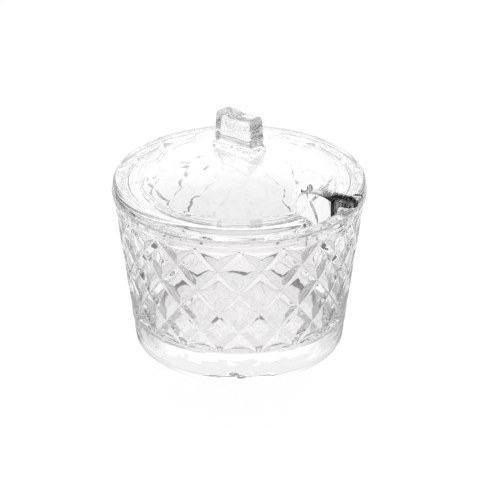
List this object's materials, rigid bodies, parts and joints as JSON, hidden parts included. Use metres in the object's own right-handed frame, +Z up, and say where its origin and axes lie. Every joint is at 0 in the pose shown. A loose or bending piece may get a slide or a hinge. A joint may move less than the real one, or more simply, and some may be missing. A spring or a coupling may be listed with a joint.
{
  "type": "sugar bowl with lid",
  "caption": "Clear pressed-glass sugar bowl, tapered, cut with diamond facets, with a domed loose lid that has a block knob and a spoon notch.",
  "frame": {"origin": "centre of the underside of the bowl, on the surface that it stands on", "axes": "+Z up along the bowl's axis; the lid's spoon notch and the long side of its knob point 40 degrees from +X towards -Y"},
  "size_m": [0.11, 0.11, 0.1065],
  "materials": {
    "bowl_glass": "clear polished pressed glass",
    "lid_glass": "clear polished pressed glass"
  },
  "bodies": {
    "bowl": {"bowl": "bowl_glass"},
    "lid": {"lid": "lid_glass"}
  },
  "joints": [
    {"name": "lid_lift", "type": "slide", "parent": "bowl", "child": "lid", "axis": [0, 0, 1], "range_m": [0, 0.06]}
  ]
}
